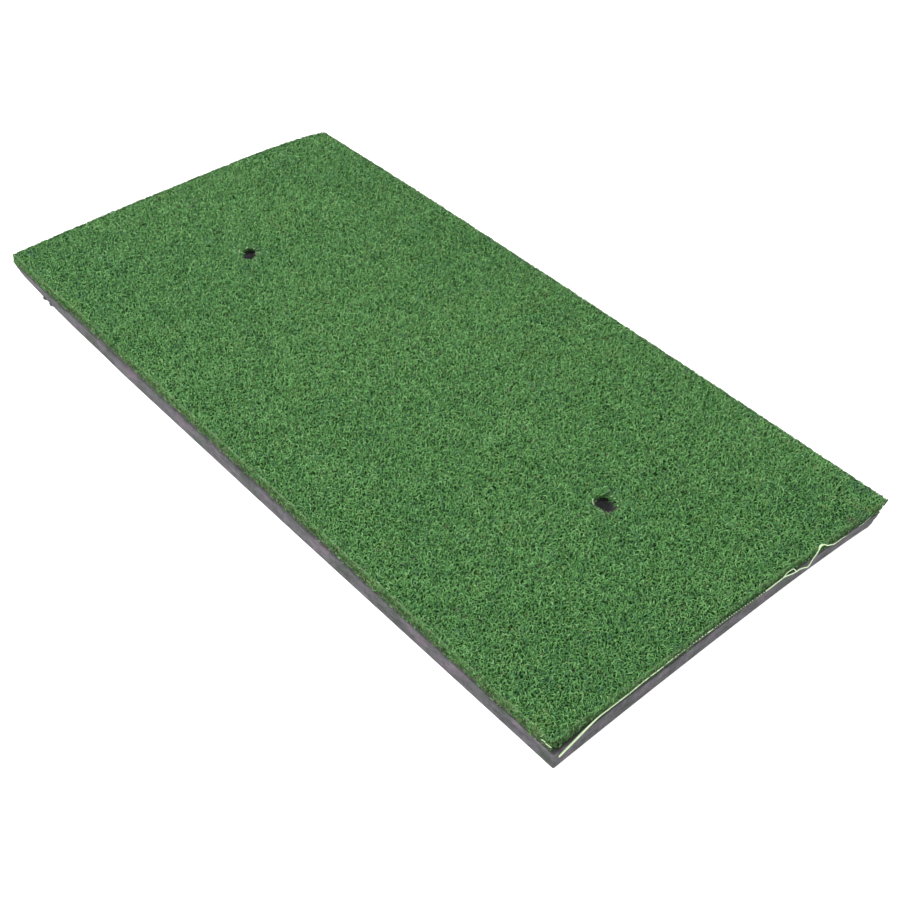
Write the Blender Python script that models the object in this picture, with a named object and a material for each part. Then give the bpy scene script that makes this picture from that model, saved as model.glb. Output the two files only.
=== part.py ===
"""Golf hitting mat: a 600 x 300 mm strip of curled artificial turf bonded to a foam pad.

The frame is metres with +Z up. The origin is the centre of the underside, +X runs along the
long side and +Y along the short side. From the underside up, the layers are the foam pad, the
film of glue, the backing coat, the woven scrim and the pile. Two tee holes go through them all.
A yarn pulled out of the scrim lies along the end face at +X.
"""

import math

import bmesh
import bpy
from mathutils import Vector

# Overall plan
MAT_LENGTH = 0.600
MAT_WIDTH = 0.300
# Plan radii of the corners at (+X +Y), (-X +Y), (-X -Y) and (+X -Y)
CORNER_RADII = (0.003, 0.016, 0.004, 0.003)
CORNER_SEGMENTS = 6

# Layer thicknesses, from the underside up
FOAM_THICKNESS = 0.0120
GLUE_THICKNESS = 0.0003
COAT_THICKNESS = 0.0007
SCRIM_THICKNESS = 0.0004
PILE_HEIGHT = 0.0060
LAYER_GAP = 0.0003

# How far each layer stays inside the outline of the foam pad
GLUE_INSET = 0.0015
BACKING_INSET = 0.0004
PILE_INSET = 0.0008

# Edges
FOAM_EDGE_BEVEL = 0.0005
PILE_EDGE_RADIUS = 0.0030
PILE_EDGE_SEGMENTS = 4

# Tee holes, punched by hand near each end and a little off the long centreline. The left hole
# is the one towards -X.
TEE_HOLE_DIAMETER = 0.0180
LEFT_HOLE_FROM_END = 0.1155
LEFT_HOLE_OFF_AXIS = -0.0075
RIGHT_HOLE_FROM_END = 0.1124
RIGHT_HOLE_OFF_AXIS = 0.0070
TURF_HOLE_MARGIN = 0.0004
PILE_HOLE_MARGIN = 0.0008
GLUE_HOLE_MARGIN = 0.0012
HOLE_SEGMENTS = 48
CUTTER_OVERSHOOT = 0.005

# The pulled yarn
YARN_DIAMETER = 0.0010
YARN_POINTS = 80
YARN_SAMPLES_PER_SPAN = 24
# Route of the yarn from its loose end. It hangs free, lies along the cut side of the pile,
# comes loose again, and goes back into the scrim at its last point. Each point is its distance
# out from the end face, then its place across the mat, then its height.
YARN_ROUTE = [
    (0.0024, -0.1465, 0.0095),
    (0.0020, -0.1355, 0.0125),
    (0.0017, -0.1275, 0.0145),
    (0.0014, -0.1210, 0.0157),
    (0.0009, -0.1140, 0.0162),
    (0.0005, -0.1070, 0.0155),
    (0.0003, -0.0975, 0.0152),
    (0.0002, -0.0865, 0.0153),
    (0.0002, -0.0760, 0.0163),
    (0.0002, -0.0630, 0.0162),
    (0.0002, -0.0520, 0.0171),
    (0.0001, -0.0375, 0.0166),
    (0.0001, -0.0240, 0.0160),
    (0.0002, -0.0105, 0.0158),
    (0.0003, 0.0015, 0.0156),
    (0.0006, 0.0155, 0.0150),
    (0.0009, 0.0320, 0.0149),
    (0.0011, 0.0430, 0.0153),
    (0.0013, 0.0490, 0.0155),
    (0.0014, 0.0540, 0.0137),
    (0.0015, 0.0595, 0.0122),
    (0.0016, 0.0640, 0.0118),
    (0.0017, 0.0690, 0.0098),
    (0.0017, 0.0728, 0.0078),
    (0.0017, 0.0750, 0.0098),
    (0.0018, 0.0770, 0.0132),
    (0.0020, 0.0790, 0.0158),
    (0.0018, 0.0805, 0.0185),
    (0.0015, 0.0825, 0.0203),
    (0.0018, 0.0860, 0.0193),
    (0.0023, 0.0895, 0.0165),
    (0.0024, 0.0935, 0.0145),
    (0.0024, 0.0975, 0.0125),
    (0.0024, 0.1050, 0.0120),
    (0.0023, 0.1130, 0.0110),
    (0.0023, 0.1205, 0.0111),
    (0.0020, 0.1265, 0.0113),
]


def clear_scene():
    for obj in list(bpy.data.objects):
        bpy.data.objects.remove(obj, do_unlink=True)


def principled(name, color, roughness):
    material = bpy.data.materials.new(name)
    material.use_nodes = True
    shader = material.node_tree.nodes["Principled BSDF"]
    shader.inputs["Base Color"].default_value = (*color, 1.0)
    shader.inputs["Roughness"].default_value = roughness
    shader.inputs["Metallic"].default_value = 0.0
    material.diffuse_color = (*color, 1.0)
    return material


def rounded_outline(inset):
    """Corner points of the plan rectangle, inset all round, with its corners as short arcs."""
    half_length = MAT_LENGTH / 2 - inset
    half_width = MAT_WIDTH / 2 - inset
    corners = zip(((1, 1), (-1, 1), (-1, -1), (1, -1)), CORNER_RADII)
    points = []
    for quarter, ((side_x, side_y), radius) in enumerate(corners):
        centre_x = side_x * (half_length - radius)
        centre_y = side_y * (half_width - radius)
        for step in range(CORNER_SEGMENTS + 1):
            angle = (quarter + step / CORNER_SEGMENTS) * math.pi / 2
            points.append((centre_x + radius * math.cos(angle), centre_y + radius * math.sin(angle)))
    return points


def bevel_rim(mesh, height, width, segments):
    """Bevels the edges of the outline that lie at this height."""
    rim = [
        edge
        for edge in mesh.edges
        if all(abs(vertex.co.z - height) < 1e-7 for vertex in edge.verts)
    ]
    bmesh.ops.bevel(
        mesh,
        geom=rim,
        offset=width,
        segments=segments,
        profile=0.5,
        affect="EDGES",
        clamp_overlap=True,
    )


def tee_hole_centres():
    left = (LEFT_HOLE_FROM_END - MAT_LENGTH / 2, LEFT_HOLE_OFF_AXIS)
    right = (MAT_LENGTH / 2 - RIGHT_HOLE_FROM_END, RIGHT_HOLE_OFF_AXIS)
    return [left, right]


def add_cutter(name, centre, diameter, top):
    """An upright cylinder that a Boolean takes out of a layer. It isn't part of the mat."""
    mesh = bmesh.new()
    bmesh.ops.create_cone(
        mesh,
        cap_ends=True,
        segments=HOLE_SEGMENTS,
        radius1=diameter / 2,
        radius2=diameter / 2,
        depth=top + 2 * CUTTER_OVERSHOOT,
    )
    data = bpy.data.meshes.new(name)
    mesh.to_mesh(data)
    mesh.free()
    cutter = bpy.data.objects.new(name, data)
    cutter.location = (centre[0], centre[1], top / 2)
    cutter.hide_render = True
    cutter.display_type = "WIRE"
    bpy.context.scene.collection.objects.link(cutter)
    return cutter


def add_layer(name, material, base, thickness, inset, hole_margin, rims=()):
    """One flat layer of the mat with both tee holes. Each rim is (is_top, width, segments)."""
    mesh = bmesh.new()
    corners = [mesh.verts.new((x, y, 0.0)) for x, y in rounded_outline(inset)]
    face = mesh.faces.new(corners)
    raised = bmesh.ops.extrude_face_region(mesh, geom=[face])
    top_corners = [item for item in raised["geom"] if isinstance(item, bmesh.types.BMVert)]
    bmesh.ops.translate(mesh, verts=top_corners, vec=Vector((0.0, 0.0, thickness)))
    bmesh.ops.recalc_face_normals(mesh, faces=mesh.faces)
    for is_top, width, segments in rims:
        bevel_rim(mesh, thickness if is_top else 0.0, width, segments)
    data = bpy.data.meshes.new(name)
    mesh.to_mesh(data)
    mesh.free()
    data.materials.append(material)
    layer = bpy.data.objects.new(name, data)
    layer.location = (0.0, 0.0, base)
    bpy.context.scene.collection.objects.link(layer)
    diameter = TEE_HOLE_DIAMETER + 2 * hole_margin
    for number, centre in enumerate(tee_hole_centres(), start=1):
        cutter = add_cutter(f"{name}_cutter_{number}", centre, diameter, base + thickness)
        hole = layer.modifiers.new(f"tee_hole_{number}", "BOOLEAN")
        hole.operation = "DIFFERENCE"
        hole.solver = "EXACT"
        hole.object = cutter
    return layer


def smooth_curve(points):
    """Closely spaced points on a Catmull-Rom curve through the given ones."""
    ends = [points[0] * 2 - points[1], *points, points[-1] * 2 - points[-2]]
    found = []
    for before, start, end, after in zip(ends, ends[1:], ends[2:], ends[3:]):
        for step in range(YARN_SAMPLES_PER_SPAN):
            t = step / YARN_SAMPLES_PER_SPAN
            pull = (end - before) * t
            bend = (before * 2 - start * 5 + end * 4 - after) * t**2
            twist = (start * 3 - before - end * 3 + after) * t**3
            found.append((start * 2 + pull + bend + twist) / 2)
    found.append(points[-1])
    return found


def evenly_spaced(points, count):
    """The given number of points at equal distances along a line of points."""
    lengths = [0.0]
    for start, end in zip(points, points[1:]):
        lengths.append(lengths[-1] + (end - start).length)
    found = []
    span = 0
    for number in range(count):
        along = lengths[-1] * number / (count - 1)
        while span < len(points) - 2 and lengths[span + 1] < along:
            span += 1
        share = (along - lengths[span]) / (lengths[span + 1] - lengths[span])
        found.append(points[span].lerp(points[span + 1], min(share, 1.0)))
    return found


def add_yarn(name, material):
    end_face = MAT_LENGTH / 2
    route = [Vector((end_face + out, across, height)) for out, across, height in YARN_ROUTE]
    line = evenly_spaced(smooth_curve(route), YARN_POINTS)
    curve = bpy.data.curves.new(name, "CURVE")
    curve.dimensions = "3D"
    curve.bevel_depth = YARN_DIAMETER / 2
    curve.bevel_resolution = 2
    curve.use_fill_caps = True
    spline = curve.splines.new("POLY")
    spline.points.add(len(line) - 1)
    for point, place in zip(spline.points, line):
        point.co = (*place, 1.0)
    curve.materials.append(material)
    yarn = bpy.data.objects.new(name, curve)
    bpy.context.scene.collection.objects.link(yarn)
    return yarn


def build():
    clear_scene()
    foam_grey = principled("foam_grey", (0.130, 0.127, 0.131), 0.85)
    glue_clear = principled("glue_clear", (0.100, 0.105, 0.100), 0.45)
    coat_black = principled("coat_black", (0.030, 0.034, 0.030), 0.80)
    scrim_pale = principled("scrim_pale", (0.500, 0.680, 0.380), 0.60)
    pile_green = principled("pile_green", (0.070, 0.180, 0.055), 0.70)
    yarn_pale = principled("yarn_pale", (0.560, 0.760, 0.430), 0.60)

    foam_rims = [(False, FOAM_EDGE_BEVEL, 1), (True, FOAM_EDGE_BEVEL, 1)]
    pile_rims = [(True, PILE_EDGE_RADIUS, PILE_EDGE_SEGMENTS)]
    layers = [
        ("foam_base", foam_grey, FOAM_THICKNESS, 0.0, 0.0, foam_rims),
        ("glue_film", glue_clear, GLUE_THICKNESS, GLUE_INSET, GLUE_HOLE_MARGIN, ()),
        ("backing_coat", coat_black, COAT_THICKNESS, BACKING_INSET, TURF_HOLE_MARGIN, ()),
        ("woven_scrim", scrim_pale, SCRIM_THICKNESS, BACKING_INSET, TURF_HOLE_MARGIN, ()),
        ("turf_pile", pile_green, PILE_HEIGHT, PILE_INSET, PILE_HOLE_MARGIN, pile_rims),
    ]
    base = 0.0
    for name, material, thickness, inset, hole_margin, rims in layers:
        add_layer(name, material, base, thickness, inset, hole_margin, rims)
        base += thickness + LAYER_GAP
    add_yarn("loose_edge_yarn", yarn_pale)


build()
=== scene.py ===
"""Looks of the golf hitting mat: turf of real curled fibres on a foam pad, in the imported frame.

All lengths are metres. The origin is the centre of the underside, +X runs along the long side
towards the end with the pulled yarn, +Y along the short side, and +Z up out of the turf.
"""

import math

import bpy
import numpy as np
from mathutils import Matrix, Vector


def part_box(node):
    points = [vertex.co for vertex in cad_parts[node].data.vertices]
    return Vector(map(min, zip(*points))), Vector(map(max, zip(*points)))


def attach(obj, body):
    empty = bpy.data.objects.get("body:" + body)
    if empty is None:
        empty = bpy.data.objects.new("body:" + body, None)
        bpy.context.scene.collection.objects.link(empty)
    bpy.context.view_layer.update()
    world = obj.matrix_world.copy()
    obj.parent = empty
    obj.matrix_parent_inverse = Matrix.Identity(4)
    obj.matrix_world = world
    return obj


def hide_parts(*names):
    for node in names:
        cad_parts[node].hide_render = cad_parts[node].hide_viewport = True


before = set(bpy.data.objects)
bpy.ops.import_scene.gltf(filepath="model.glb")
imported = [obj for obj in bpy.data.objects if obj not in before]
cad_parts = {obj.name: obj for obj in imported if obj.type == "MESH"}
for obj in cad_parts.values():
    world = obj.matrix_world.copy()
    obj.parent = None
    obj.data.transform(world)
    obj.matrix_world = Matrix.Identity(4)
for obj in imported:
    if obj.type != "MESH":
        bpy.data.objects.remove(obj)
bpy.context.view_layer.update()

# -------- sizes read from the frame

FOAM_LOW, FOAM_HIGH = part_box("foam_base")
GLUE_LOW, GLUE_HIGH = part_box("glue_film")
COAT_LOW, COAT_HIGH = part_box("backing_coat")
SCRIM_LOW, SCRIM_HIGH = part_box("woven_scrim")
PILE_LOW, PILE_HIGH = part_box("turf_pile")

HALF_LENGTH = FOAM_HIGH.x
HALF_WIDTH = FOAM_HIGH.y
MAT_LENGTH = 2 * HALF_LENGTH
MAT_WIDTH = 2 * HALF_WIDTH

# -------- sizes of the looks

HOLE_RADIUS = 0.0090
LEFT_HOLE = (-HALF_LENGTH + 0.1155, -0.0075)
RIGHT_HOLE = (HALF_LENGTH - 0.1124, 0.0070)
HOLES = [LEFT_HOLE, RIGHT_HOLE]
HOLE_SEGMENTS = 64
HOLE_ANGLES = np.arange(HOLE_SEGMENTS) / HOLE_SEGMENTS * 2 * math.pi
# How much wider than the foam's the holes are in the other layers
GLUE_HOLE_MARGIN = 0.0012
COAT_HOLE_MARGIN = 0.0004
SCRIM_HOLE_MARGIN = 0.0014
ROOT_HOLE_MARGIN = 0.0010

# Plan corner radii, in the order (+X +Y), (-X +Y), (-X -Y), (+X -Y)
TURF_CORNER_RADII = (0.0012, 0.0050, 0.0040, 0.0055)
COAT_CORNER_RADII = (0.0012, 0.0050, 0.0040, 0.0015)
FOAM_CORNER_RADII = (0.0020, 0.0160, 0.0015, 0.0012)
OUTLINE_STEP = 0.0012

PILE_DEPTH = PILE_HIGH.z - PILE_LOW.z
STRAND_COUNT = 145_000
EDGE_STRAND_COUNT = 15_000
HOLE_STRAND_COUNT = 260
STRAND_SEGMENTS = 4
STRAND_WIDTHS = (0.00050, 0.00070)
STRAND_LENGTHS = (0.0032, 0.0056)
EDGE_STRAND_LENGTHS = (0.0022, 0.0044)
# Where each point of a strand lies along it, from 0 to 1
ALONG_STRAND = np.linspace(0.0, 1.0, STRAND_SEGMENTS + 1)
ZONES_LONG = 5
ZONES_WIDE = 2

SCRIM_PITCH = 0.0025
SCRIM_TAPE_WIDTH = 0.0023
TAPE_END_POINTS = 5

# The yarn's route from its loose end, as in the CAD: out from the mat's length, across, height
YARN_ROUTE = [
    (0.0024, -0.1465, 0.0095),
    (0.0020, -0.1355, 0.0125),
    (0.0017, -0.1275, 0.0145),
    (0.0014, -0.1210, 0.0157),
    (0.0009, -0.1140, 0.0162),
    (0.0005, -0.1070, 0.0155),
    (0.0003, -0.0975, 0.0152),
    (0.0002, -0.0865, 0.0153),
    (0.0002, -0.0760, 0.0163),
    (0.0002, -0.0630, 0.0162),
    (0.0002, -0.0520, 0.0171),
    (0.0001, -0.0375, 0.0166),
    (0.0001, -0.0240, 0.0160),
    (0.0002, -0.0105, 0.0158),
    (0.0003, 0.0015, 0.0156),
    (0.0006, 0.0155, 0.0150),
    (0.0009, 0.0320, 0.0149),
    (0.0011, 0.0430, 0.0153),
    (0.0013, 0.0490, 0.0155),
    (0.0014, 0.0540, 0.0137),
    (0.0015, 0.0595, 0.0122),
    (0.0016, 0.0640, 0.0118),
    (0.0017, 0.0690, 0.0098),
    (0.0017, 0.0728, 0.0078),
    (0.0017, 0.0750, 0.0098),
    (0.0018, 0.0770, 0.0132),
    (0.0020, 0.0790, 0.0158),
    (0.0018, 0.0805, 0.0185),
    (0.0015, 0.0825, 0.0203),
    (0.0018, 0.0860, 0.0193),
    (0.0023, 0.0895, 0.0165),
    (0.0024, 0.0935, 0.0145),
    (0.0024, 0.0975, 0.0125),
    (0.0024, 0.1050, 0.0120),
    (0.0023, 0.1130, 0.0110),
    (0.0023, 0.1205, 0.0111),
    (0.0020, 0.1265, 0.0113),
]
# Pale tape ends that lie along the near side: place along the mat, height and length
NEAR_SIDE_ENDS = [
    (0.2912, 0.0168, 0.0030),
    (0.2946, 0.0166, 0.0042),
    (-0.2425, 0.0166, 0.0020),
    (-0.2385, 0.0172, 0.0020),
]
# Thin pale threads along the cut at the right end, past the end of the pulled yarn
END_THREADS = [
    ((0.3029, 0.1215, 0.0118), (0.3036, 0.1268, 0.0128)),
    ((0.3036, 0.1275, 0.0132), (0.3041, 0.1330, 0.0150)),
]
# Pale ends that lie along the holes' rims: the hole, angle in degrees, length and drop
RIM_ENDS = [
    (LEFT_HOLE, 222, 0.0042, 0.0002),
    (LEFT_HOLE, 48, 0.0022, 0.0004),
    (LEFT_HOLE, 92, 0.0016, 0.0010),
    (LEFT_HOLE, 118, 0.0014, 0.0016),
    (LEFT_HOLE, 160, 0.0020, 0.0012),
    (RIGHT_HOLE, 224, 0.0056, 0.0001),
    (RIGHT_HOLE, 252, 0.0026, 0.0010),
    (RIGHT_HOLE, 287, 0.0060, 0.0006),
    (RIGHT_HOLE, 36, 0.0016, 0.0008),
    (RIGHT_HOLE, 62, 0.0020, 0.0008),
    (RIGHT_HOLE, 84, 0.0018, 0.0012),
    (RIGHT_HOLE, 104, 0.0018, 0.0008),
]
# Ranges on the dye ramp, and small spots where fibres take one of them: place, radius, range
DEEP_BLUE = (0.00, 0.10)
BLUE = (0.00, 0.12)
OLIVE = (0.84, 0.90)
BROWN = (0.95, 1.00)
DYE_SPOTS = [
    ((0.1833, 0.0190), 0.0048, DEEP_BLUE),
    ((-0.1704, -0.0216), 0.0040, BLUE),
    ((-0.1640, -0.0205), 0.0040, OLIVE),
    ((0.2965, 0.1370), 0.0055, OLIVE),
    ((0.2822, 0.1460), 0.0050, BLUE),
    ((0.2985, 0.1270), 0.0045, BLUE),
    ((0.2970, 0.1162), 0.0045, BROWN),
    ((-0.2115, -0.1470), 0.0060, OLIVE),
    ((-0.2921, -0.1374), 0.0040, BLUE),
    ((0.2953, -0.1451), 0.0045, BLUE),
    ((0.2843, -0.1480), 0.0045, OLIVE),
]
# How far fibres hang over each hole, and the direction in degrees that they hang most from
HOLE_FRAY = [(0.0044, 50.0), (0.0034, 84.0)]
# Where crumbs of foam stick out at the foot of the near side
BURRS = (-0.2575, -0.2475)
# A strand split off the yarn, by the same three measures
SPLIT_ROUTE = [
    (0.0014, 0.0460, 0.0157),
    (0.0015, 0.0476, 0.0171),
    (0.0016, 0.0501, 0.0186),
    (0.0017, 0.0530, 0.0187),
    (0.0016, 0.0564, 0.0174),
    (0.0016, 0.0599, 0.0129),
    (0.0016, 0.0625, 0.0116),
]
# Where the yarn is still woven in: from and to across the mat, and its one uncovered stretch
WOVEN_STRETCH = (-0.052, 0.0315)
BARE_STRETCH = (-0.0212, -0.0168)

# -------- camera, floor and light

CAMERA_PLACE = Vector((0.5951, -0.4994, 0.6607))
CAMERA_AZIMUTH = 47.73
CAMERA_ELEVATION = 42.98
CAMERA_ROLL = 1.52
CAMERA_LENS = 56.5
FLOOR_HALF_SIZE = 6.0
FLOOR_HEIGHT = -0.0002


def camera_axes(azimuth, elevation, roll):
    """The camera's right, up and back directions, from angles in degrees."""
    a, e, r = (math.radians(angle) for angle in (azimuth, elevation, roll))
    back = Vector((math.sin(a) * math.cos(e), -math.cos(a) * math.cos(e), math.sin(e)))
    level = Vector((0, 0, 1)).cross(back).normalized()
    upright = back.cross(level)
    right = level * math.cos(r) + upright * math.sin(r)
    return right, back.cross(right), back


def add_camera():
    data = bpy.data.cameras.new("camera")
    data.lens = CAMERA_LENS
    data.sensor_width = 36.0
    data.clip_start = 0.01
    data.clip_end = 50.0
    camera = new_object("camera", data)
    axes = Matrix(camera_axes(CAMERA_AZIMUTH, CAMERA_ELEVATION, CAMERA_ROLL)).transposed()
    camera.matrix_world = Matrix.Translation(CAMERA_PLACE) @ axes.to_4x4()
    bpy.context.scene.camera = camera


def add_area_light(name, place, size, power):
    data = bpy.data.lights.new(name, "AREA")
    data.shape = "DISK"
    data.size = size
    data.energy = power
    light = new_object(name, data)
    light.location = place
    light.rotation_mode = "QUATERNION"
    light.rotation_quaternion = (-Vector(place)).to_track_quat("-Z", "Y")


def add_stage():
    scene = bpy.context.scene
    scene.view_settings.view_transform = "Standard"
    world = bpy.data.worlds.new("studio")
    world.use_nodes = True
    sky = world.node_tree.nodes["Background"]
    sky.inputs["Color"].default_value = (1.0, 1.0, 1.0, 1.0)
    sky.inputs["Strength"].default_value = 0.75
    scene.world = world
    add_area_light("key_light", (-0.9, -1.1, 1.9), 1.0, 38.0)
    add_area_light("fill_light", (1.6, 0.4, 1.6), 1.4, 7.0)

    signs = [(-1, -1), (1, -1), (1, 1), (-1, 1)]
    corners = [(a * FLOOR_HALF_SIZE, b * FLOOR_HALF_SIZE, FLOOR_HEIGHT) for a, b in signs]
    floor = mesh_object("floor", corners, np.array([[0, 1, 2, 3]]), floor_material())


# -------- small tools


def new_object(name, data):
    """An object in the scene that holds this mesh, light or camera."""
    made = bpy.data.objects.new(name, data)
    bpy.context.scene.collection.objects.link(made)
    return made


def mesh_object(name, points, faces, material, uv=None):
    """A mesh from arrays: points (n, 3), faces (m, corners) and uv (m * corners, 2)."""
    mesh = bpy.data.meshes.new(name)
    mesh.vertices.add(len(points))
    mesh.vertices.foreach_set("co", np.asarray(points, np.float32).ravel())
    mesh.loops.add(faces.size)
    mesh.loops.foreach_set("vertex_index", np.asarray(faces, np.int32).ravel())
    mesh.polygons.add(len(faces))
    mesh.polygons.foreach_set("loop_start", np.arange(0, faces.size, faces.shape[1], dtype=np.int32))
    mesh.update(calc_edges=True)
    if uv is not None:
        layer = mesh.uv_layers.new(name="OFBake")
        layer.uv.foreach_set("vector", np.asarray(uv, np.float32).ravel())
    mesh.shade_smooth()
    mesh.materials.append(material)
    return new_object(name, mesh)


def solid_object(name, points, faces):
    """A mesh from lists, whose faces may have any number of corners."""
    mesh = bpy.data.meshes.new(name)
    mesh.from_pydata(points, [], faces)
    return new_object(name, mesh)


def stand_for(piece, slot, *nodes):
    """The piece rides with the mat and stands for these CAD nodes, which it hides. The slot is not
    used.
    """
    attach(piece, "root")
    if nodes:
        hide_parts(*nodes)


def ease(value, start, end):
    """0 at start, 1 at end, and smooth between them."""
    share = np.clip((value - start) / (end - start), 0.0, 1.0)
    return share * share * (3.0 - 2.0 * share)


def patches(x, y, cell, seed):
    """Smooth random values from -1 to 1 over the plan, with patches about a cell wide."""
    rng = np.random.default_rng(seed)
    table = rng.uniform(-1.0, 1.0, (64, 64))
    across, along = np.asarray(x) / cell + 1000.0, np.asarray(y) / cell + 1000.0
    column, row = np.floor(across).astype(int), np.floor(along).astype(int)
    u, v = ease(across - column, 0, 1), ease(along - row, 0, 1)
    left, right = column % 64, (column + 1) % 64
    near, far = (table[k, left] * (1 - u) + table[k, right] * u for k in (row % 64, (row + 1) % 64))
    return near * (1 - v) + far * v


def outside_corner(x, y, radii):
    """How far each point is outside a plan rectangle with rounded corners; negative inside."""
    radius = np.where(
        y > 0,
        np.where(x > 0, radii[0], radii[1]),
        np.where(x > 0, radii[3], radii[2]),
    )
    past_x = np.abs(x) - (HALF_LENGTH - radius)
    past_y = np.abs(y) - (HALF_WIDTH - radius)
    beyond = np.hypot(np.maximum(past_x, 0), np.maximum(past_y, 0))
    return beyond + np.minimum(np.maximum(past_x, past_y), 0) - radius


def hole_distance(x, y):
    """How far each point is from the centre of the nearer tee hole."""
    return np.minimum(*(np.hypot(x - hole_x, y - hole_y) for hole_x, hole_y in HOLES))


def around_hole(hole, radius, angle):
    """Plan points at these distances and angles from a tee hole's centre."""
    return hole[0] + radius * np.cos(angle), hole[1] + radius * np.sin(angle)


def loop_walls(loops, count):
    """Quads between loops of count points each, every loop joined to the next."""
    ring = np.arange(count)
    walls = []
    for level in range(loops - 1):
        low, high = level * count + ring, (level + 1) * count + ring
        walls.append(np.stack([low, np.roll(low, -1), np.roll(high, -1), high], axis=1))
    return np.concatenate(walls)


def closed_walls(loops, count):
    """The same quads with a face across the first loop and another across the last."""
    first, last = range(count), range((loops - 1) * count, loops * count)
    return [*loop_walls(loops, count).tolist(), list(reversed(first)), list(last)]


def unit(vectors):
    """The same directions at length 1."""
    return vectors / np.maximum(np.linalg.norm(vectors, axis=-1, keepdims=True), 1e-9)


def climb(value, start, end, power=1.0):
    """0 up to start, 1 at end, and on past it, straight or along a power curve."""
    return np.clip((value - start) / (end - start), 0.0, None) ** power


def end_face(y, z):
    """How far out the cut at +X lies. It is hollow in plan and leans outwards towards +Y."""
    hollow = 0.0023 * climb(-y, -0.035, 0.147, 2.0) + 0.0021 * climb(y, 0.035, 0.139, 2.0)
    lean = 0.03 + 0.14 * ease(y, 0.02, 0.12) - 0.07 * ease(-y, 0.04, 0.12)
    return hollow - 0.0004 + lean * z


def edge_weights(x, y):
    """Near 1 at the ends and at the sides, and 0 inside, so that a cut moves only the edges."""
    return (np.abs(x) / HALF_LENGTH) ** 12, (np.abs(y) / HALF_WIDTH) ** 8


def backing_cut(x, y, z):
    """Moves points of a plain rectangle of turf backing to where the hand-cut one really ends.

    The distances in this and the next cuts are chosen to match the outline in the photograph.
    """
    weight_x, weight_y = edge_weights(x, y)
    hanging = 0.0006 * ease(-z, -0.0146, -0.0138)
    right = end_face(y, z) - 0.0001 - 0.0005 * ease(y, 0.080, 0.100)
    left = 0.0015 - 0.0021 * climb(-y, 0.060, 0.144, 1.3) - 0.0082 * climb(y, 0.020, 0.145, 3.2)
    far_lean = 0.75 * np.clip(PILE_HIGH.z - 0.001 - z, 0.0, None) * ease(x, 0.12, 0.30)
    far = 0.0012 - 0.0025 * climb(-x, 0.150, 0.280) - 0.0019 * climb(x, 0.060, 0.300, 1.5) - far_lean
    near = 0.0006 + 0.0004 * ease(-x, 0.10, 0.18) - 0.0018 * ease(-x, 0.19, 0.25) - hanging
    moved_x = x + np.where(x > 0, right, -left) * weight_x
    moved_y = y + np.where(y > 0, far, near) * weight_y
    return moved_x, moved_y


def turf_cut(x, y, z):
    """The same for the pile, which has lost its outer fibres at the near right corner."""
    moved_x, moved_y = backing_cut(x, y, z)
    lost = 0.0013 * ease(-y, 0.10, 0.13) * edge_weights(np.clip(x, 0.0, None), y)[0]
    return moved_x - lost, moved_y


def droop(x, y, z):
    """How far the lower fibres at the near side and the right end hang down over the foam."""
    near = 0.0016 - 0.0012 * ease(-x, 0.19, 0.25)
    right = 0.0012 + 0.0036 * ease(y, 0.080, 0.098) - 0.0036 * ease(y, 0.134, 0.146)
    at_near = near * ease(-y, HALF_WIDTH - 0.0040, HALF_WIDTH - 0.0010)
    at_right = right * ease(x, HALF_LENGTH - 0.0035, HALF_LENGTH - 0.0005)
    share = np.clip((z - PILE_LOW.z) / PILE_DEPTH, 0.0, 1.0)
    return (at_near + at_right) * (1.0 - share)


def foam_cut(x, y, z):
    """Moves points of a plain rectangle of foam to where the hand-cut foam really ends."""
    weight_x, weight_y = edge_weights(x, y)
    left = 0.0004 * ease(-y, 0.10, 0.13) + 0.0018 * climb(-y, 0.130, 0.148)
    shaved = 0.0009 * ease(-x, 0.13, 0.19) + 0.0037 * climb(-x, 0.19, 0.297, 1.6)
    near = shaved * np.clip(1.0 - 75.0 * z, 0.2, 1.0) + 0.0014 * climb(x, 0.05, 0.30, 1.1) - 0.0010
    for place in BURRS:
        near -= 0.0016 * np.exp(-(((x - place) / 0.0013) ** 2)) * (z < 0.0028)
    recess = (0.0113 - 0.48 * z) * ease(x, 0.12, 0.30)
    moved_x = x + np.where(x > 0, end_face(y, z), left) * weight_x
    moved_y = y + np.where(y > 0, -recess, near) * weight_y
    return moved_x, moved_y


def outline(radii, inset=0.0):
    """Plan points about OUTLINE_STEP apart round a rectangle with a radius at each corner."""
    points, gaps = [], []
    corners = [(1, 1), (-1, 1), (-1, -1), (1, -1)]
    for quarter, ((side_x, side_y), radius) in enumerate(zip(corners, radii)):
        centre_x = side_x * (HALF_LENGTH - radius)
        centre_y = side_y * (HALF_WIDTH - radius)
        steps = max(4, round(radius * math.pi / 2 / OUTLINE_STEP))
        for step in range(steps + 1):
            angle = (quarter + step / steps) * math.pi / 2
            reach = max(radius - inset, 0.0002)
            pulled = reach - (radius - inset)
            x = centre_x - side_x * pulled + reach * math.cos(angle)
            points.append((x, centre_y - side_y * pulled + reach * math.sin(angle)))
        next_radius = radii[(quarter + 1) % 4]
        side = (MAT_LENGTH, MAT_WIDTH)[quarter % 2] - radius - next_radius
        gaps.append((len(points), round(side / OUTLINE_STEP)))
    filled = []
    for (stop, count), (before, _) in zip(gaps, [(0, 0), *gaps]):
        filled += points[before:stop]
        start, end = np.array(points[stop - 1]), np.array(points[stop % len(points)])
        filled += [tuple(start + (end - start) * k / count) for k in range(1, count)]
    return np.array(filled)


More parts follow.
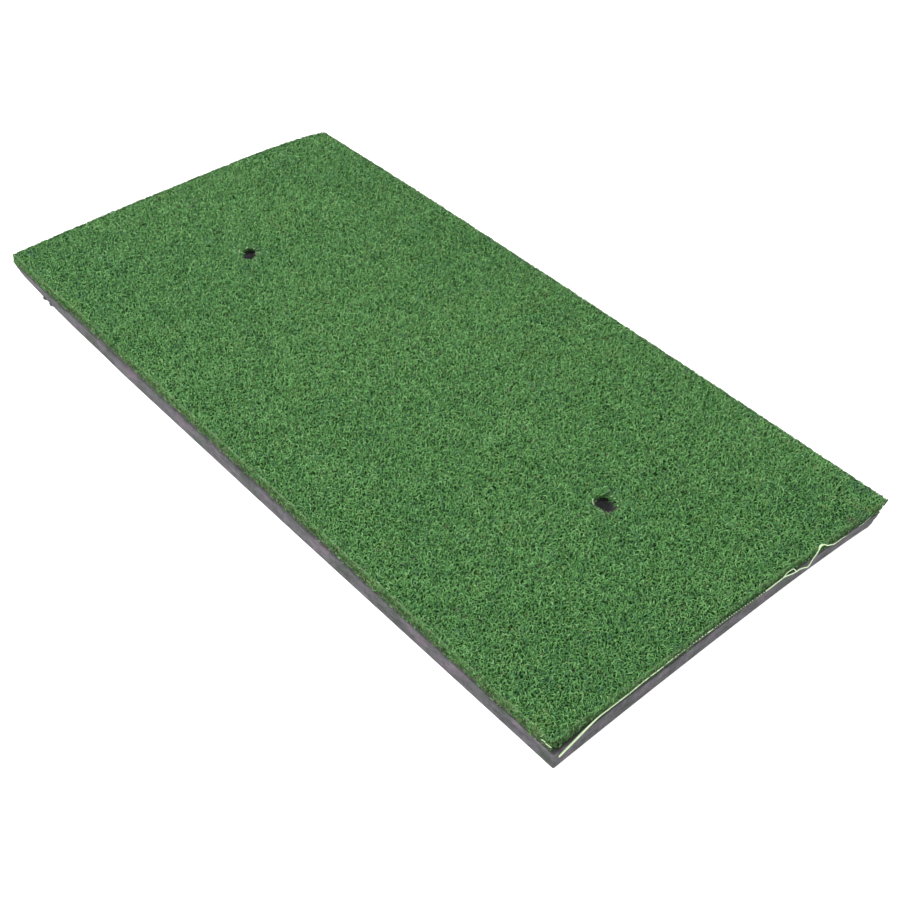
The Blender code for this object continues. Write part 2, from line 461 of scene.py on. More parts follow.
def slab(name, material, levels, radii, cut, holes):
    """A closed slab with tee holes. Levels are (height, inset), from the underside up."""
    loops = []
    for height, inset in levels:
        plan = outline(radii, inset)
        level = np.full(len(plan), height)
        x, y = cut(plan[:, 0], plan[:, 1], level)
        loops.append(np.stack([x, y, level], axis=1))
    faces = closed_walls(len(loops), len(loops[0]))
    piece = solid_object(name, np.concatenate(loops).tolist(), faces)
    cutters = [hole_cutter(f"{name}_cutter_{k}", centre, holes) for k, centre in enumerate(HOLES)]
    for cutter in cutters:
        cut_hole = piece.modifiers.new(cutter.name, "BOOLEAN")
        cut_hole.operation = "DIFFERENCE"
        cut_hole.object = cutter
    shaped = piece.evaluated_get(bpy.context.evaluated_depsgraph_get())
    final = bpy.data.meshes.new_from_object(shaped)
    piece.modifiers.clear()
    piece.data = final
    for cutter in cutters:
        bpy.data.objects.remove(cutter)
    final.materials.clear()
    final.materials.append(material)
    final.shade_smooth()
    final.set_sharp_from_angle(angle=math.radians(50))
    return piece


def hole_cutter(name, centre, radius):
    """A cylinder that reaches well past the mat's underside and top."""
    rim = list(zip(*around_hole(centre, radius, HOLE_ANGLES)))
    points = [(x, y, height) for height in (-0.01, 0.04) for x, y in rim]
    return solid_object(name, points, closed_walls(2, HOLE_SEGMENTS))


# -------- materials


class Finish:
    """A Principled material whose nodes are added one line at a time."""

    def __init__(self, name, roughness, specular):
        self.material = bpy.data.materials.new(name)
        self.material.use_nodes = True
        self.tree = self.material.node_tree
        self.shader = self.tree.nodes["Principled BSDF"]
        self.shader.inputs["Roughness"].default_value = roughness
        self.shader.inputs["Specular IOR Level"].default_value = specular

    def add(self, kind, inputs=None, **settings):
        """Adds a node. Each input is a number or colour, or the output of another node."""
        made = self.tree.nodes.new(kind)
        for name, value in settings.items():
            setattr(made, name, value)
        for name, value in (inputs or {}).items():
            if isinstance(value, bpy.types.NodeSocket):
                self.tree.links.new(value, made.inputs[name])
            else:
                made.inputs[name].default_value = value
        return made

    def ramp(self, factor, stops):
        """A colour ramp. Stops are (position, colour)."""
        made = self.add("ShaderNodeValToRGB", {"Fac": factor})
        elements = made.color_ramp.elements
        for position, color in stops[1:-1]:
            elements.new(position).color = (*color, 1.0)
        elements[0].position, elements[0].color = stops[0][0], (*stops[0][1], 1.0)
        elements[-1].position, elements[-1].color = stops[-1][0], (*stops[-1][1], 1.0)
        return made.outputs["Color"]

    def noise(self, scale, detail, vector, roughness=0.5):
        inputs = {"Scale": scale, "Detail": detail, "Roughness": roughness, "Vector": vector}
        return self.add("ShaderNodeTexNoise", inputs).outputs["Fac"]

    def mix(self, factor, first, second, blend="MIX"):
        """A mix of two colours. The node's colour sockets are known by number only."""
        inputs = {0: factor, 6: first, 7: second}
        return self.add("ShaderNodeMix", inputs, data_type="RGBA", blend_type=blend).outputs[2]

    def spread(self, value, low, high):
        """Maps 0..1 to low..high."""
        inputs = {"Value": value, "To Min": low, "To Max": high}
        return self.add("ShaderNodeMapRange", inputs).outputs["Result"]

    def place(self, scale=(1.0, 1.0, 1.0)):
        """Object coordinates, stretched by a scale along each axis."""
        where = self.add("ShaderNodeTexCoord").outputs["Object"]
        return self.add("ShaderNodeMapping", {"Vector": where, "Scale": scale}).outputs["Vector"]

    def along_fibre(self, scale, detail):
        """The map across and up each fibre, and streaks of noise that run along it."""
        where = self.add("ShaderNodeUVMap", uv_map="OFBake").outputs["UV"]
        parts = self.add("ShaderNodeSeparateXYZ", {"Vector": where}).outputs
        streaks = self.add("ShaderNodeMapping", {"Vector": where, "Scale": scale})
        return parts["X"], parts["Y"], self.noise(1.0, detail, streaks.outputs["Vector"])

    def bump(self, height, distance, strength=1.0):
        inputs = {"Height": height, "Distance": distance, "Strength": strength}
        made = self.add("ShaderNodeBump", inputs)
        self.tree.links.new(made.outputs["Normal"], self.shader.inputs["Normal"])

    def use(self, color, roughness):
        self.tree.links.new(color, self.shader.inputs["Base Color"])
        self.tree.links.new(roughness, self.shader.inputs["Roughness"])
        return self.material


def gray(value):
    return (value, value, value)


def floor_material():
    finish = Finish("floor_paper", 0.9, 0.0)
    finish.shader.inputs["Base Color"].default_value = (0.93, 0.93, 0.93, 1.0)
    finish.shader.inputs["Emission Color"].default_value = (1.0, 1.0, 1.0, 1.0)
    finish.shader.inputs["Emission Strength"].default_value = 0.60
    return finish.material


def pile_material():
    """Fibre colour. Across the map is the fibre's dye, and up the map is its height in the pile,
    which sets painted shade: darker low in the pile, with a slight painted highlight at the top.
    """
    finish = Finish("curled_fibre", 0.5, 0.45)
    across, up, mottle = finish.along_fibre((900.0, 7.0, 1.0), 2.0)
    dye = finish.ramp(
        across,
        [
            (0.00, (0.062, 0.206, 0.092)),
            (0.18, (0.066, 0.224, 0.078)),
            (0.38, (0.084, 0.276, 0.062)),
            (0.60, (0.132, 0.376, 0.092)),
            (0.78, (0.232, 0.520, 0.172)),
            (0.88, (0.146, 0.316, 0.062)),
            (1.00, (0.160, 0.225, 0.110)),
        ],
    )
    # Painted shade by height: fibre low in the pile is darkened to a fifth of its dye, and the tips
    # are lifted a little past it as a painted highlight.
    painted_shade_by_depth = [(0.0, gray(0.20)), (0.45, gray(0.47)), (0.75, gray(0.85)), (1.0, gray(1.06))]
    depth = finish.ramp(up, painted_shade_by_depth)
    shade = finish.ramp(mottle, [(0.3, gray(0.85)), (0.7, gray(1.0))])
    color = finish.mix(1.0, finish.mix(1.0, dye, depth, "MULTIPLY"), shade, "MULTIPLY")
    return finish.use(color, finish.spread(mottle, 0.40, 0.62))


def root_shade_material():
    finish = Finish("pile_roots_painted_shade", 0.8, 0.2)
    wide = finish.noise(60.0, 2.0, finish.place())
    fine = finish.noise(900.0, 3.0, finish.place())
    # Very dark green: painted shade deep in the pile, over the lower fibres' own green.
    color = finish.ramp(
        finish.mix(0.6, wide, fine),
        [(0.3, (0.014, 0.044, 0.012)), (0.55, (0.026, 0.078, 0.022)), (0.8, (0.036, 0.090, 0.026))],
    )
    finish.bump(fine, 0.0006)
    return finish.use(color, finish.spread(wide, 0.7, 0.9))


def foam_material():
    """Grey closed-cell foam: cut cells, knife lines along the edge and a purple and olive mottle."""
    finish = Finish("cell_foam", 0.85, 0.25)
    plain = finish.place()
    cells = finish.add("ShaderNodeTexVoronoi", {"Vector": plain, "Scale": 1100.0})
    fine = finish.noise(1500.0, 2.0, plain)
    wide = finish.noise(55.0, 2.0, plain, 0.6)
    dusk = finish.noise(1.0, 2.0, finish.place((70.0, 70.0, 170.0)))
    lines = finish.noise(1.0, 3.0, finish.place((45.0, 45.0, 700.0)))
    tone = finish.ramp(
        wide,
        [
            (0.34, (0.096, 0.112, 0.098)),
            (0.45, (0.122, 0.122, 0.128)),
            (0.56, (0.143, 0.136, 0.150)),
            (0.68, (0.176, 0.146, 0.172)),
        ],
    )
    shadow = finish.ramp(dusk, [(0.32, gray(0.72)), (0.52, gray(0.96)), (0.70, gray(1.12))])
    speck = finish.noise(1.0, 2.0, finish.place((330.0, 330.0, 420.0)))
    worn = finish.ramp(speck, [(0.30, gray(0.70)), (0.50, gray(0.93)), (0.70, gray(1.13))])
    grain = finish.mix(0.5, finish.ramp(fine, [(0.3, gray(0.70)), (0.7, gray(1.0))]), lines)
    pores = finish.ramp(cells.outputs["Distance"], [(0.05, gray(0.66)), (0.35, gray(1.0))])
    shade = finish.mix(0.42, gray(1.0) + (1.0,), grain, "MULTIPLY")
    toned = finish.mix(1.0, finish.mix(1.0, tone, shadow, "MULTIPLY"), shade, "MULTIPLY")
    toned = finish.mix(1.0, toned, worn, "MULTIPLY")
    finish.bump(finish.mix(0.4, cells.outputs["Distance"], lines), 0.00025, 0.8)
    return finish.use(finish.mix(1.0, toned, pores, "MULTIPLY"), finish.spread(fine, 0.75, 0.95))


def glue_material():
    finish = Finish("hot_melt_glue", 0.4, 0.5)
    web = finish.noise(300.0, 4.0, finish.place())
    color = finish.ramp(web, [(0.35, (0.06, 0.065, 0.06)), (0.65, (0.16, 0.165, 0.155))])
    finish.bump(web, 0.0002)
    return finish.use(color, finish.spread(web, 0.3, 0.6))


def coat_material():
    finish = Finish("latex_coat", 0.75, 0.3)
    fine = finish.noise(1400.0, 4.0, finish.place())
    wide = finish.noise(90.0, 3.0, finish.place())
    color = finish.ramp(
        finish.mix(0.5, fine, wide),
        [(0.3, (0.020, 0.026, 0.019)), (0.55, (0.038, 0.046, 0.036)), (0.75, (0.066, 0.080, 0.060))],
    )
    finish.bump(fine, 0.0004)
    return finish.use(color, finish.spread(wide, 0.6, 0.9))


def tape_material():
    """Woven tape. Across the map is its dye, olive then pale, and up the map runs along it."""
    finish = Finish("woven_tape", 0.55, 0.4)
    across, _, mottle = finish.along_fibre((160.0, 14.0, 1.0), 3.0)
    dye = finish.ramp(
        across,
        [
            (0.00, (0.060, 0.100, 0.048)),
            (0.45, (0.110, 0.170, 0.085)),
            (0.55, (0.330, 0.460, 0.250)),
            (1.00, (0.640, 0.820, 0.500)),
        ],
    )
    shade = finish.ramp(mottle, [(0.3, gray(0.72)), (0.7, gray(1.0))])
    return finish.use(finish.mix(1.0, dye, shade, "MULTIPLY"), finish.spread(mottle, 0.45, 0.7))


# -------- pieces


def add_foam():
    low, high = FOAM_LOW.z, FOAM_HIGH.z
    levels = [(low, 0.0003), (low + 0.0003, 0.0001)]
    levels += [(low + 0.0010 * k, 0.00012 * math.sin(k * 1.3)) for k in range(1, 12)]
    levels += [(high - 0.0003, 0.0), (high, 0.0003)]
    foam = slab("foam_pad", foam_material(), levels, FOAM_CORNER_RADII, foam_cut, HOLE_RADIUS)
    stand_for(foam, "foam", "foam_base")


def add_glue():
    levels = [(GLUE_LOW.z, 0.0015), (GLUE_HIGH.z, 0.0015)]
    holes = HOLE_RADIUS + GLUE_HOLE_MARGIN
    glue = slab("glue_layer", glue_material(), levels, FOAM_CORNER_RADII, foam_cut, holes)
    stand_for(glue, "glue", "glue_film")


def add_coat():
    low, high = COAT_LOW.z, COAT_HIGH.z
    levels = [(low, 0.0006), (low + 0.0002, 0.0003), (high - 0.0002, 0.0003), (high, 0.0005)]
    holes = HOLE_RADIUS + COAT_HOLE_MARGIN
    coat = slab("latex_layer", coat_material(), levels, COAT_CORNER_RADII, backing_cut, holes)
    stand_for(coat, "backing", "backing_coat")


def ribbons(centre, side):
    """Points and quads of flat ribbons. Centre and side are (ribbons, points along, 3)."""
    count, along = centre.shape[:2]
    points = np.stack([centre - side, centre + side], axis=2).reshape(-1, 3)
    first = np.arange(count)[:, None] * along * 2 + np.arange(along - 1)[None, :] * 2
    faces = np.stack([first, first + 1, first + 3, first + 2], axis=2).reshape(-1, 4)
    return points, faces


def ribbon_uv(across, width, up):
    """The map of the same quads: across (ribbons,) is each one's column, up (ribbons, points)."""
    left, right = (
        np.stack([np.broadcast_to(side[:, None], up.shape), up], axis=2)
        for side in (across - width, across + width)
    )
    corners = [left[:, :-1], right[:, :-1], right[:, 1:], left[:, 1:]]
    return np.stack(corners, axis=2).reshape(-1, 2)


def ribbon_sides(centre, half_width, roll):
    """Half-width vectors across each ribbon, level at roll 0 and turned about its run by roll."""
    run = unit(np.gradient(centre, axis=1))
    level = unit(np.stack([-run[..., 1], run[..., 0], np.zeros(run.shape[:2])], axis=2))
    upright = np.cross(run, level)
    turned = level * np.cos(roll)[..., None] + upright * np.sin(roll)[..., None]
    return turned * half_width[..., None]


def tape_run(along_x, seed):
    """The woven tapes of one direction, as centre lines and half-width vectors."""
    rng = np.random.default_rng(seed)
    length, width = (HALF_LENGTH, HALF_WIDTH) if along_x else (HALF_WIDTH, HALF_LENGTH)
    tapes = int(2 * width / SCRIM_PITCH)
    crossings = int(2 * length / SCRIM_PITCH)
    across = (np.arange(tapes) - (tapes - 1) / 2) * SCRIM_PITCH
    along = np.linspace(-length, length, crossings + 1)
    run = np.broadcast_to(along, (tapes, crossings + 1)).copy()
    run[:, 0] += rng.uniform(0.0008, 0.0016, tapes)
    run[:, -1] -= rng.uniform(0.0008, 0.0016, tapes)
    wander = np.repeat(across[:, None], crossings + 1, axis=1) + rng.normal(0, 0.00006, run.shape)
    over = np.where((np.arange(tapes)[:, None] + np.arange(crossings + 1)[None, :]) % 2 == 0, 1, -1)
    lift = (SCRIM_HIGH.z - SCRIM_LOW.z) * 0.22 * over * (1 if along_x else -1)
    height = (SCRIM_HIGH.z + SCRIM_LOW.z) / 2 + lift
    x, y = (run, wander) if along_x else (wander, run)
    plan_x, plan_y = turf_cut(x, y, height)
    centre = np.stack([plan_x, plan_y, height], axis=2)
    half = np.full(run.shape, SCRIM_TAPE_WIDTH / 2)
    return centre, ribbon_sides(centre, half, np.zeros(run.shape))


def add_scrim(material):
    """Tapes woven over and under each other, open at the tee holes and cut at the edges."""
    all_points, all_faces, all_uv = [], [], []
    offset = 0
    for along_x, seed, dyes in ((True, 21, (0.02, 0.44)), (False, 22, (0.58, 0.95))):
        centre, side = tape_run(along_x, seed)
        points, faces = ribbons(centre, side)
        column = np.random.default_rng(seed + 10).uniform(*dyes, len(centre))
        up = np.broadcast_to(np.linspace(0.02, 0.98, centre.shape[1]), centre.shape[:2])
        uv = ribbon_uv(column, 0.01, up)
        middle = points[faces].mean(axis=1)
        keep = outside_corner(middle[:, 0], middle[:, 1], TURF_CORNER_RADII) < 0.004
        keep &= along_x | (middle[:, 0] < HALF_LENGTH - 0.0035)
        keep &= hole_distance(middle[:, 0], middle[:, 1]) > HOLE_RADIUS + SCRIM_HOLE_MARGIN
        all_points.append(points)
        all_faces.append(faces[keep] + offset)
        all_uv.append(uv.reshape(-1, 4, 2)[keep].reshape(-1, 2))
        offset += len(points)
    scrim = mesh_object(
        "woven_backing",
        np.concatenate(all_points),
        np.concatenate(all_faces),
        material,
        np.concatenate(all_uv),
    )
    stand_for(scrim, "scrim", "woven_scrim")


def yarn_point(across):
    """Where along the mat, and how high, the yarn's route is at this place across the mat."""
    route = np.array(YARN_ROUTE)
    out = np.interp(across, route[:, 1], route[:, 0])
    return HALF_LENGTH + out, np.interp(across, route[:, 1], route[:, 2])


def wrap_over_yarn(across, slant):
    """Centre line of a tape end that passes over the yarn from above and tucks in below it."""
    x, z = yarn_point(across)
    angle = np.radians(np.linspace(125.0, -75.0, TAPE_END_POINTS))
    reach = 0.00080
    y = across + slant * np.linspace(-0.5, 0.5, TAPE_END_POINTS)
    return np.column_stack([x + reach * np.cos(angle), y, z + reach * np.sin(angle)])


def add_tape_ends(material):
    """Cut tape ends that show: over the woven yarn, along the near side and round the holes."""
    rng = np.random.default_rng(31)
    lines, sides, dyes = [], [], []
    repeats = (TAPE_END_POINTS, 1)
    y = WOVEN_STRETCH[0]
    while y < WOVEN_STRETCH[1]:
        if not BARE_STRETCH[0] < y < BARE_STRETCH[1]:
            lines.append(wrap_over_yarn(y, rng.uniform(-0.0005, 0.0010)))
            sides.append(np.tile([0.0, rng.uniform(0.00048, 0.00066), 0.0], repeats))
            dyes.append(rng.uniform(0.05, 0.30))
        y += rng.uniform(0.0019, 0.0022) + 0.0006 * (y < BARE_STRETCH[0])
    share = np.linspace(0.0, 1.0, TAPE_END_POINTS)[:, None]
    for start, end in END_THREADS:
        lines.append(np.array(start) + share * (np.array(end) - np.array(start)))
        sides.append(np.tile([0.0, 0.0, 0.0003], repeats))
        dyes.append(0.62)
    for x, height, length in NEAR_SIDE_ENDS:
        start = np.array([x, -HALF_WIDTH + 0.0002, height])
        lines.append(start + share * np.array([length, 0.0003, 0.0002]))
        sides.append(np.tile([0.0, 0.0002, 0.0003], repeats))
        dyes.append(rng.uniform(0.66, 0.84))
    for hole, angle, length, drop in RIM_ENDS:
        turn = math.radians(angle) + (share[:, 0] - 0.5) * length / HOLE_RADIUS
        radius = HOLE_RADIUS - 0.0006 - 0.0006 * share[:, 0]
        height = PILE_HIGH.z - 0.0004 - drop - 0.0006 * share[:, 0]
        lines.append(np.column_stack([*around_hole(hole, radius, turn), height]))
        rise = np.full(TAPE_END_POINTS, 0.0002)
        sides.append(np.column_stack([0.0004 * np.cos(turn), 0.0004 * np.sin(turn), rise]))
        dyes.append(rng.uniform(0.55, 0.85))
    centre, side = np.array(lines), np.array(sides)
    points, faces = ribbons(centre, side)
    up = np.broadcast_to(np.linspace(0.1, 0.6, centre.shape[1]), centre.shape[:2])
    uv = ribbon_uv(np.array(dyes), 0.01, up)
    stand_for(mesh_object("frayed_tape_ends", points, faces, material, uv), "scrim")


def add_rim(material):
    """A strip of packed fibre round the turf, just inside its cut sides, that closes the pile."""
    # The rise, the inset and the painted shade at each loop (its height on the fibre's shade ramp),
    # from the foot over the top; darkest where the strip turns in under the curls
    levels = [
        (0.0001, 0.0010, 0.30),
        (0.0036, 0.0010, 0.42),
        (0.0050, 0.0010, 0.52),
        (0.0049, 0.0022, 0.38),
        (0.0034, 0.0042, 0.10),
    ]
    loops, maps = [], []
    for rise, inset, light in levels:
        plan = outline(TURF_CORNER_RADII, inset)
        level = np.full(len(plan), PILE_LOW.z + rise)
        bumps = 0.00025 * patches(plan[:, 0] + rise * 9, plan[:, 1], 0.0023, 8)
        height = level - droop(plan[:, 0], plan[:, 1], level) + bumps
        x, y = turf_cut(plan[:, 0], plan[:, 1], level)
        loops.append(np.stack([x, y, height], axis=1))
        dye = 0.40 + 0.30 * patches(plan[:, 0], plan[:, 1] + rise * 9, 0.0027, 9)
        maps.append(np.stack([np.clip(dye, 0.1, 0.7), np.full(len(plan), light)], axis=1))
    faces = loop_walls(len(levels), len(loops[0]))
    uv = np.concatenate(maps)[faces].reshape(-1, 2)
    rim = mesh_object("pile_rim", np.concatenate(loops), faces, material, uv)
    stand_for(rim, "pile", "turf_pile")


def add_hole_collars(material):
    """A strip of packed fibre round each tee hole, just outside its cut side."""
    # The rise, the setback and the painted shade at each loop (its height on the fibre's shade
    # ramp), from the foot over the top; darkest where the strip turns in under the curls
    levels = [
        (0.0001, 0.0005, 0.50),
        (0.0034, 0.0006, 0.55),
        (0.0046, 0.0012, 0.55),
        (0.0044, 0.0028, 0.30),
        (0.0032, 0.0046, 0.10),
    ]
    walls = loop_walls(len(levels), HOLE_SEGMENTS)[:, [0, 3, 2, 1]]
    faces = np.concatenate([walls, walls + len(levels) * HOLE_SEGMENTS])
    points, maps = [], []
    for hole in HOLES:
        x, y = around_hole(hole, HOLE_RADIUS, HOLE_ANGLES)
        for rise, inset, light in levels:
            reach = HOLE_RADIUS + inset + 0.0003 * patches(x + rise, y, 0.0021, 16)
            height = PILE_LOW.z + rise + 0.0003 * patches(x, y + rise * 9, 0.0023, 17)
            points.append(np.column_stack([*around_hole(hole, reach, HOLE_ANGLES), height]))
            dye = np.clip(0.40 + 0.30 * patches(x, y + rise * 9, 0.0027, 18), 0.1, 0.7)
            maps.append(np.stack([dye, np.full(HOLE_SEGMENTS, light)], axis=1))
    uv = np.concatenate(maps)[faces].reshape(-1, 2)
    collars = mesh_object("pile_hole_collars", np.concatenate(points), faces, material, uv)
    stand_for(collars, "pile", "turf_pile")


def add_roots():
    """The lower part of the pile under the curls, painted very dark as shade between them: a bumpy
    bed open at the tee holes.
    """
    cell = 0.0020
    columns, rows = round(MAT_LENGTH / cell), round(MAT_WIDTH / cell)
    x, y = np.meshgrid(
        np.linspace(-HALF_LENGTH, HALF_LENGTH, columns + 1),
        np.linspace(-HALF_WIDTH, HALF_WIDTH, rows + 1),
    )
    in_hole = HOLE_RADIUS + ROOT_HOLE_MARGIN - hole_distance(x, y)
    edge = np.maximum(outside_corner(x, y, TURF_CORNER_RADII), in_hole)
    bumps = 0.0006 * patches(x, y, 0.0031, 5) + 0.0005 * patches(x, y, 0.0017, 6)
    top = PILE_LOW.z + 0.0030 + bumps
    height = np.where(edge > -0.0016, PILE_LOW.z + 0.0001, top)
    inset = 0.0012
    plan_x, plan_y = turf_cut(x * (1 - inset / HALF_LENGTH), y * (1 - inset / HALF_WIDTH), height)
    points = np.stack([plan_x, plan_y, height], axis=2).reshape(-1, 3)
    index = np.arange((rows + 1) * (columns + 1)).reshape(rows + 1, columns + 1)
    faces = np.stack([index[:-1, :-1], index[:-1, 1:], index[1:, 1:], index[1:, :-1]], axis=2)
    faces = faces.reshape(-1, 4)
    keep = edge.ravel()[faces].max(axis=1) < 0.0
    roots = mesh_object("pile_root_bed", points, faces[keep], root_shade_material())
    stand_for(roots, "pile", "turf_pile")


def keep_in_turf(centre, slack):
    """Bends strand points back to the turf's edge and to the rim of the tee holes.

    Slack is how far each strand may hang past the edge, (strands, 1).
    """
    x, y = centre[..., 0].copy(), centre[..., 1].copy()
    past = outside_corner(x, y, TURF_CORNER_RADII) - slack
    inward = np.clip(past, 0.0, None)
    corner_x = np.clip(np.abs(x) - (HALF_LENGTH - 0.020), 0.0, None)
    corner_y = np.clip(np.abs(y) - (HALF_WIDTH - 0.020), 0.0, None)
    reach = np.maximum(np.hypot(corner_x, corner_y), 1e-9)
    x -= np.sign(x) * inward * corner_x / reach
    y -= np.sign(y) * inward * corner_y / reach
    share = np.clip((slack + 0.0008) / 0.0011, 0.0, 1.0)
    for (hole_x, hole_y), (fray, most) in zip(HOLES, HOLE_FRAY):
        out_x, out_y = x - hole_x, y - hole_y
        radius = np.maximum(np.hypot(out_x, out_y), 1e-6)
        toward = math.cos(math.radians(most)) * out_x + math.sin(math.radians(most)) * out_y
        overhang = fray * (0.25 + 0.75 * (toward / radius) ** 2) * share
        stretch = np.maximum(radius, HOLE_RADIUS + 0.0020 * (1.0 - share) - overhang) / radius
        x, y = hole_x + out_x * stretch, hole_y + out_y * stretch
    centre[..., 0], centre[..., 1] = x, y


def curled_run(rng, length, heading, curl, wander):
    """How far each strand has run at each of its points, along two axes at right angles."""
    count, along = len(length), STRAND_SEGMENTS + 1
    wobble = np.cumsum(rng.normal(0, wander, (count, along)), axis=1)
    angle = heading[:, None] + curl[:, None] * ALONG_STRAND + wobble
    step = length[:, None] / STRAND_SEGMENTS
    return np.cumsum(np.cos(angle) * step, axis=1), np.cumsum(np.sin(angle) * step, axis=1)


def strand_field(rng, x, y, peak, low):
    """Centre lines of curled strands whose middles are at x, y. Returns (strands, points, 3)."""
    count = len(x)
    length = rng.uniform(*STRAND_LENGTHS, count)
    heading = rng.uniform(0, 2 * math.pi, count)
    curl = rng.choice([-1.0, 1.0], count) * rng.uniform(1.0, 4.0, count)
    run_x, run_y = curled_run(rng, length, heading, curl, 0.25)
    run_x -= run_x.mean(axis=1, keepdims=True)
    run_y -= run_y.mean(axis=1, keepdims=True)
    arch = np.sin(math.pi * (0.06 + 0.88 * ALONG_STRAND))[None, :] ** 0.8
    waves = rng.uniform(5, 9, count)[:, None]
    crimp = 0.00035 * np.sin(ALONG_STRAND * waves + rng.uniform(0, 6.3, count)[:, None])
    height = low[:, None] + (peak - low)[:, None] * arch + crimp
    return np.stack([x[:, None] + run_x, y[:, None] + run_y, height], axis=2)


def even_scatter(rng, count, half_x, half_y):
    """About count points spread evenly but irregularly over a rectangle."""
    pitch = math.sqrt(4 * half_x * half_y / count)
    columns, rows = round(2 * half_x / pitch), round(2 * half_y / pitch)
    x, y = np.meshgrid(np.arange(columns) + 0.5, np.arange(rows) + 0.5)
    x = (x + rng.uniform(-0.5, 0.5, x.shape)) / columns * 2 * half_x - half_x
    y = (y + rng.uniform(-0.5, 0.5, y.shape)) / rows * 2 * half_y - half_y
    return x.ravel(), y.ravel()


def dye_of(rng, x, y):
    """Each strand's column on the dye ramp: mostly mid green, with blue, olive and brown patches."""
    count = len(x)
    wide = patches(x, y, 0.055, 11)
    small = patches(x, y, 0.011, 12)
    worn = 0.08 * np.exp(-((x / 0.17) ** 2) - (y / 0.10) ** 2)
    column = rng.normal(0.49, 0.19, count) + 0.05 * wide + 0.05 * small + worn
    bluish = (patches(x, y, 0.017, 13) > 0.62) & (rng.random(count) < 0.14)
    olive = (patches(x, y, 0.014, 14) > 0.68) & (rng.random(count) < 0.20)
    at_edge = outside_corner(x, y, TURF_CORNER_RADII) > -0.030
    brown = at_edge & (patches(x, y, 0.012, 15) > 0.62) & (rng.random(count) < 0.08)
    column = np.where(bluish, rng.uniform(0.0, 0.2, count), column)
    column = np.where(olive, rng.uniform(0.84, 0.92, count), column)
    column = np.where(brown, rng.uniform(0.94, 1.0, count), column)
    for (spot_x, spot_y), radius, dyes in DYE_SPOTS:
        here = np.hypot(x - spot_x, y - spot_y) < radius * rng.uniform(0.4, 1.2, count)
        column = np.where(here & (rng.random(count) < 0.6), rng.uniform(*dyes, count), column)
    return np.clip(column, 0.01, 0.99)


def edge_strands(rng):
    """Centre lines of strands in the cut sides, from the scrim up, while the sides are straight."""
    count = EDGE_STRAND_COUNT
    on_end = rng.random(count) < MAT_WIDTH / (MAT_WIDTH + MAT_LENGTH)
    sign = rng.choice([-1.0, 1.0], count)
    reach = np.where(on_end, HALF_WIDTH, HALF_LENGTH)
    place = rng.uniform(-1.0, 1.0, count) * reach
    length = rng.uniform(*EDGE_STRAND_LENGTHS, count)
    heading = rng.uniform(0.0, 2 * math.pi, count)
    curl = rng.uniform(-2.4, 2.4, count)
    run, climbed = curled_run(rng, length, heading, curl, 0.2)
    sideways = place[:, None] + run - length[:, None] / 4
    middle = PILE_LOW.z + PILE_DEPTH * rng.uniform(0.04, 0.97, count)
    height = middle[:, None] + 0.8 * climbed
    height = np.clip(height, PILE_LOW.z + 0.0001, PILE_HIGH.z - 0.0003)
    depth = rng.uniform(-0.0001, 0.0010, count)[:, None] + rng.normal(0, 0.00015, run.shape)
    depth += 0.0012 * np.clip((height - PILE_LOW.z) / PILE_DEPTH, 0.0, 1.0) ** 6
    x = np.where(on_end[:, None], sign[:, None] * (HALF_LENGTH - depth), sideways)
    y = np.where(on_end[:, None], sideways, sign[:, None] * (HALF_WIDTH - depth))
    return np.stack([x, y, height], axis=2)


def hole_strands(rng):
    """Centre lines of strands that hang over each tee hole and line its side."""
    count = HOLE_STRAND_COUNT
    lines = []
    for hole, (fray, most) in zip(HOLES, HOLE_FRAY):
        turn = rng.uniform(0.0, 2 * math.pi, count)
        pull = np.cos(turn - math.radians(most)) ** 2
        reach = (0.0005 + fray * pull) * rng.uniform(0.1, 1.0, count)
        radius = HOLE_RADIUS + 0.0012 - (reach + 0.0012)[:, None] * ALONG_STRAND
        angle = turn[:, None] + rng.normal(0.0, 0.30, count)[:, None] * ALONG_STRAND**2
        top = PILE_HIGH.z - rng.uniform(0.0006, 0.0048, count)
        height = top[:, None] - rng.uniform(-0.0006, 0.0014, count)[:, None] * ALONG_STRAND**2
        lines.append(np.stack([*around_hole(hole, radius, angle), height], axis=2))
    return np.concatenate(lines)


